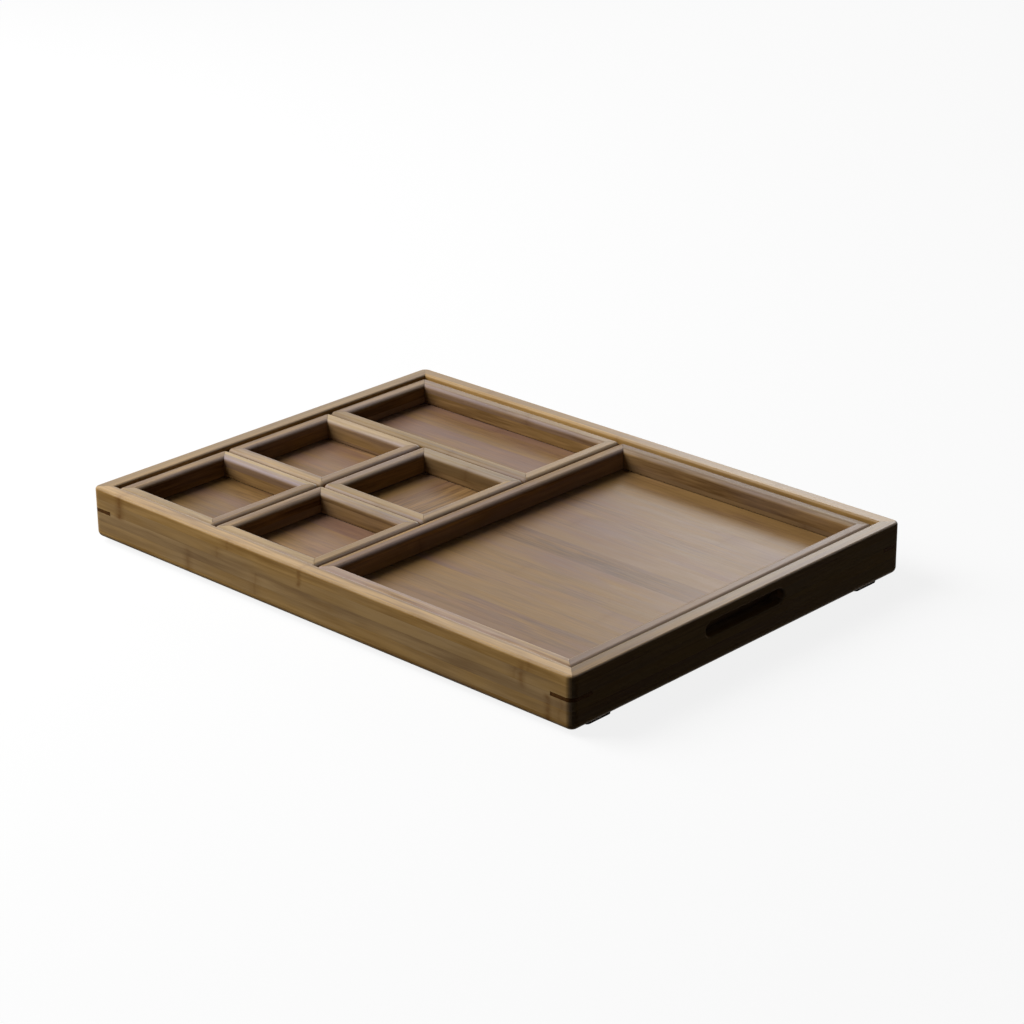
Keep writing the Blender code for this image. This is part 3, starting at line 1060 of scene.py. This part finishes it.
    def pads(self) -> Iterator[Item]:
        """Build the four pads and yield them."""
        half_x = self.pad_width / 2
        half_y = self.pad_length / 2
        plain = Bench.block("plain_pad", (-half_x, -half_y, 0.0), (half_x, half_y, self.pad_height))
        Bench.edit(plain)
        Bench.round_off(plain, lambda edge: Where.runs(edge, Z_AXIS), half_x - HAIR, steps=8)
        Bench.round_off(
            plain, lambda edge: Where.level(edge, Z_AXIS, 0.0) and Where.corner(edge), self.pad_easing,
            steps=3,
        )
        Bench.done()
        place_x = self.length / 2 - self.pad_outer - half_x
        place_y = self.width / 2 - self.pad_inset
        for front, north in (("front", -1.0), ("back", 1.0)):
            for left, east in (("left", -1.0), ("right", 1.0)):
                node = "foot_%s_%s" % (front, left)
                item = Bench.copy(plain, node + "_rubber", 0, (east * place_x, north * place_y, 0.0))
                yield self.stand(item, node, self.finishes.rubber)
        Bench.discard(plain)


@dataclass
class RailShop:
    """Models each length of rail once, lying along X with its outer face on y = 0."""

    thick: float = 0.010
    height: float = 0.0195
    top_radius: float = 0.0032
    foot_easing: float = 0.0006
    corner: float = 0.0036
    mitre_gap: float = 0.00014
    groove_low: float = 0.0020
    groove_high: float = 0.0067
    groove_depth: float = 0.0040
    lip_easing: float = 0.0004
    shelf: dict[float, Item] = field(default_factory=dict)

    def rail(self, length: float) -> Item:
        """Return the rail of a length, modelled the first time that it is asked for."""
        key = round(length, 5)
        if key not in self.shelf:
            self.shelf[key] = self.model(length)
        return self.shelf[key]

    def model(self, length: float) -> Item:
        """Model one rail.

        Args:
            length: Length of its outer face.

        Returns:
            The rail, round-topped, grooved and mitred.
        """
        half = length / 2
        item = Bench.block("plain_rail", (-half, 0.0, 0.0), (half, self.thick, self.height))

        def on_lip(edge: Edge) -> bool:
            """Say whether an edge is the upper lip of the groove."""
            inner = Where.level(edge, Y_AXIS, self.thick)
            return inner and Where.level(edge, Z_AXIS, self.groove_high) and Where.corner(edge)

        Bench.edit(item)
        Bench.round_off(item, Where.outer_upright, self.corner, steps=10)
        Bench.round_off(item, lambda edge: Where.level(edge, Z_AXIS, self.height), self.top_radius, steps=9)
        Bench.round_off(item, lambda edge: Where.level(edge, Z_AXIS, 0.0), self.foot_easing, steps=2)
        Bench.groove(item, self.groove_low, self.groove_high, self.groove_depth)
        Bench.round_off(item, on_lip, self.lip_easing, steps=2)
        Bench.mitre(half, self.mitre_gap)
        Bench.done()
        return item

    def clear(self) -> None:
        """Throw the patterns away."""
        for item in self.shelf.values():
            Bench.discard(item)
        self.shelf.clear()


@dataclass(frozen=True)
class TrayPlan:
    """Where an inner tray stands, how big it is, and how its floor and its rails look."""

    name: str
    column: int
    row: int
    length: float
    width: float
    floor_grain: Grain
    seed: float
    tone: float
    floor: Look
    rails: dict[str, Look]


PITCH = 0.0880
SMALL = 0.0874
# Each rail's Look is fitted to that rail's brightness: a tone below 1 is partly the wood's own tone and
# partly painted shade on its inner face, and a third factor above 1 adds painted light and sheen to its top.
TRAYS = (
    TrayPlan(
        "small_tray_1", 0, 0, SMALL, SMALL, Grain.ALONG_X, 21.3, 0.90, Look(0.82),
        {"front_rail": Look(1.0, 1.15, 1.3), "back_rail": Look(1.02, 1.17, 1.58), "left_rail": Look(1.08)},
    ),
    TrayPlan(
        "small_tray_2", 0, 1, SMALL, SMALL, Grain.ALONG_X, 34.8, 0.95, Look(0.98),
        {"front_rail": Look(0.93), "back_rail": Look(wear_and_top_light=1.3)},
    ),
    TrayPlan(
        "small_tray_3", 1, 0, SMALL, SMALL, Grain.ALONG_X, 47.1, 0.95, Look(),
        {"back_rail": Look(0.90, 1.0, 1.4), "left_rail": Look(0.98, 0.95)},
    ),
    TrayPlan(
        "small_tray_4", 1, 1, SMALL, SMALL, Grain.ALONG_Y, 58.6, 0.88, Look(0.95),
        {"back_rail": Look(0.72, 1.12, 1.6)},
    ),
    TrayPlan(
        "medium_tray", 0, 2, PITCH + SMALL, SMALL, Grain.ALONG_X, 63.2, 0.96, Look(),
        {"front_rail": Look(0.82, 0.85, 0.8), "back_rail": Look(1.02, 0.90, 0.7), "left_rail": Look(0.92)},
    ),
    TrayPlan(
        "large_tray", 2, 0, 0.1975, 0.2634, Grain.ALONG_X, 75.7, 0.96, Look(0.96, streaks=0.62),
        {
            "front_rail": Look(1.44, 0.76, 0.9), "back_rail": Look(0.84, 0.34, 0.9),
            "left_rail": Look(1.10, 0.45), "right_rail": Look(0.92, 0.70),
        },
    ),
)


@dataclass
class InnerTray(SubAssembly):
    """One loose inner tray: four round-topped rails and a floor in their grooves."""

    plan: TrayPlan
    shop: RailShop
    left: float = -0.1868
    front: float = -0.1322
    bottom: float = 0.0143
    floor_seed: float = 0.61
    rail_seed: float = 0.37

    def build(self) -> Iterator[Item]:
        """Dress the floor, build the rails and yield them."""
        plan = self.plan
        node = plan.name + "_floor"
        finish = self.finishes.floors[plan.floor_grain].varied(
            node + "_bamboo", plan.seed + self.floor_seed, plan.floor
        )
        self.finishes.dress(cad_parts[node], finish)
        centre_x = self.left + plan.column * PITCH + plan.length / 2
        centre_y = self.front + plan.row * PITCH + plan.width / 2
        for turns, side in enumerate(("front_rail", "right_rail", "back_rail", "left_rail")):
            node = "%s_%s" % (plan.name, side)
            grain, run, across = Grain.ALONG_X, plan.length, plan.width
            if turns % 2 == 1:
                grain, run, across = Grain.ALONG_Y, plan.width, plan.length
            outward = self.outward(turns, across / 2)
            place = (centre_x + outward.x, centre_y + outward.y, self.bottom)
            item = Bench.copy(self.shop.rail(run), node + "_wood", turns, place)
            look = plan.rails.get(side, Look())
            look = replace(look, tone=plan.tone * look.tone)
            seed = plan.seed + self.rail_seed * turns
            yield self.stand(item, node, self.finishes.rails[grain].varied(node + "_bamboo", seed, look))


@dataclass(frozen=True)
class Lamp:
    """A square soft light that looks at the tray from a direction, and may be mirrored in the lacquer."""

    name: str
    direction: Point
    size: float
    power: float
    mirrored: bool
    distance: float = 2.0

    def hang(self) -> None:
        """Add the light to the scene."""
        data = bpy.data.lights.new(self.name, "AREA")
        data.shape = "SQUARE"
        data.size = self.size
        data.energy = self.power
        item = bpy.data.objects.new(self.name, data)
        item.visible_glossy = self.mirrored
        bpy.context.scene.collection.objects.link(item)
        towards = Vector(self.direction).normalized()
        item.location = towards * self.distance
        item.rotation_euler = towards.to_track_quat("Z", "Y").to_euler()


@dataclass
class Studio:
    """A plain pale floor, soft light from the left and above, and the camera."""

    azimuth: float = 43.816
    elevation: float = 22.625
    roll: float = -0.609
    shift: Point = (-0.013126, -0.027183, 1.7660)
    focal_pixels: float = 2940.6
    frame_pixels: float = 1024.0
    sensor: float = 36.0
    clip_start: float = 0.05
    clip_end: float = 50.0
    ambient: float = 0.022
    ground_size: float = 14.0
    ground_drop: float = 0.0002
    ground_dim: Colour = (0.04, 0.036, 0.032)
    ground_pale: Colour = (0.95, 0.95, 0.95)
    ground_glow: float = 0.86
    white: tuple[float, float, float, float] = (1.0, 1.0, 1.0, 1.0)
    key: Lamp = Lamp("key_light", (-0.68, -0.36, 0.64), 1.5, 64.0, False)
    sheen: Lamp = Lamp("sheen_light", (-0.46, 0.78, 0.40), 0.5, 3.0, True)

    def camera(self) -> None:
        """Set the camera at the photograph's viewing angle."""
        turn = math.radians(self.azimuth)
        lift = math.radians(self.elevation)
        back = Vector((math.sin(turn) * math.cos(lift), -math.cos(turn) * math.cos(lift), math.sin(lift)))
        right = (-back).cross(Vector((0.0, 0.0, 1.0))).normalized()
        over = right.cross(-back)
        tilt = math.radians(self.roll)
        across = right * math.cos(tilt) + over * math.sin(tilt)
        upward = over * math.cos(tilt) - right * math.sin(tilt)
        place = -(across * self.shift[0] + upward * self.shift[1] - back * self.shift[2])
        data = bpy.data.cameras.new("view")
        data.sensor_fit = "HORIZONTAL"
        data.sensor_width = self.sensor
        data.lens = self.focal_pixels / self.frame_pixels * self.sensor
        data.clip_start = self.clip_start
        data.clip_end = self.clip_end
        item = bpy.data.objects.new("view", data)
        bpy.context.scene.collection.objects.link(item)
        turned = Matrix((across, upward, back)).transposed().to_4x4()
        item.matrix_world = Matrix.Translation(place) @ turned
        bpy.context.scene.camera = item

    @staticmethod
    def seen(graph: Graph) -> Wire:
        """Return 1 for a ray that shows the backdrop to the eye: straight, mirrored or through glass."""
        path = graph.node("ShaderNodeLightPath")
        rays = ("Is Camera Ray", "Is Glossy Ray", "Is Transmission Ray")
        straight, mirrored, through = (Wire(graph, path.outputs[ray]) for ray in rays)
        return straight.most(mirrored).most(through)

    def backdrop(self) -> None:
        """Make the world white to the eye and a dim ambient light to the tray."""
        world = bpy.data.worlds.new("studio")
        bpy.context.scene.world = world
        graph = Graph(world)
        strength = self.ambient + self.seen(graph) * (1.0 - self.ambient)
        light = graph.wire("ShaderNodeBackground", None, {"Color": self.white, "Strength": strength})
        graph.node("ShaderNodeOutputWorld", None, {0: light})

    def ground(self) -> None:
        """Lay a pale floor that is white to the eye and keeps a soft shadow."""
        Bench.clear()
        bpy.ops.mesh.primitive_plane_add(size=self.ground_size, location=(0.0, 0.0, -self.ground_drop))
        item = bpy.context.active_object
        item.name = "ground"
        Bench.settle(item)
        graph = Graph.material("ground_white")
        seen = self.seen(graph)
        tone = graph.blend(seen, self.ground_dim, self.ground_pale)
        matt = graph.wire("ShaderNodeBsdfDiffuse", None, {"Color": tone})
        glow = graph.wire("ShaderNodeEmission", None, {"Color": self.white, "Strength": 1.0})
        join = graph.wire("ShaderNodeMixShader", None, {0: seen * self.ground_glow, 1: matt, 2: glow})
        graph.node("ShaderNodeOutputMaterial", None, {0: join})
        item.data.materials.append(graph.owner)

    def build(self) -> None:
        """Set up the whole studio."""
        self.camera()
        self.backdrop()
        self.ground()
        self.key.hang()
        self.sheen.hang()
        bpy.context.scene.view_settings.view_transform = "Standard"


def main() -> None:
    """Build the studio, the outer tray and the six inner trays."""
    logging.basicConfig(level=logging.INFO, format="%(message)s")
    Studio().build()
    finishes = Finishes()
    shop = RailShop()
    trays: list[Union[OuterTray, InnerTray]] = [OuterTray("outer_tray", finishes)]
    trays += [InnerTray(plan.name, finishes, plan, shop) for plan in TRAYS]
    for tray in trays:
        for piece in tray.build():
            log.info("%s: %s, %d faces", tray.body, piece.name, len(piece.data.polygons))
    shop.clear()
    Bench.clear()


if __name__ == "__main__":
    main()
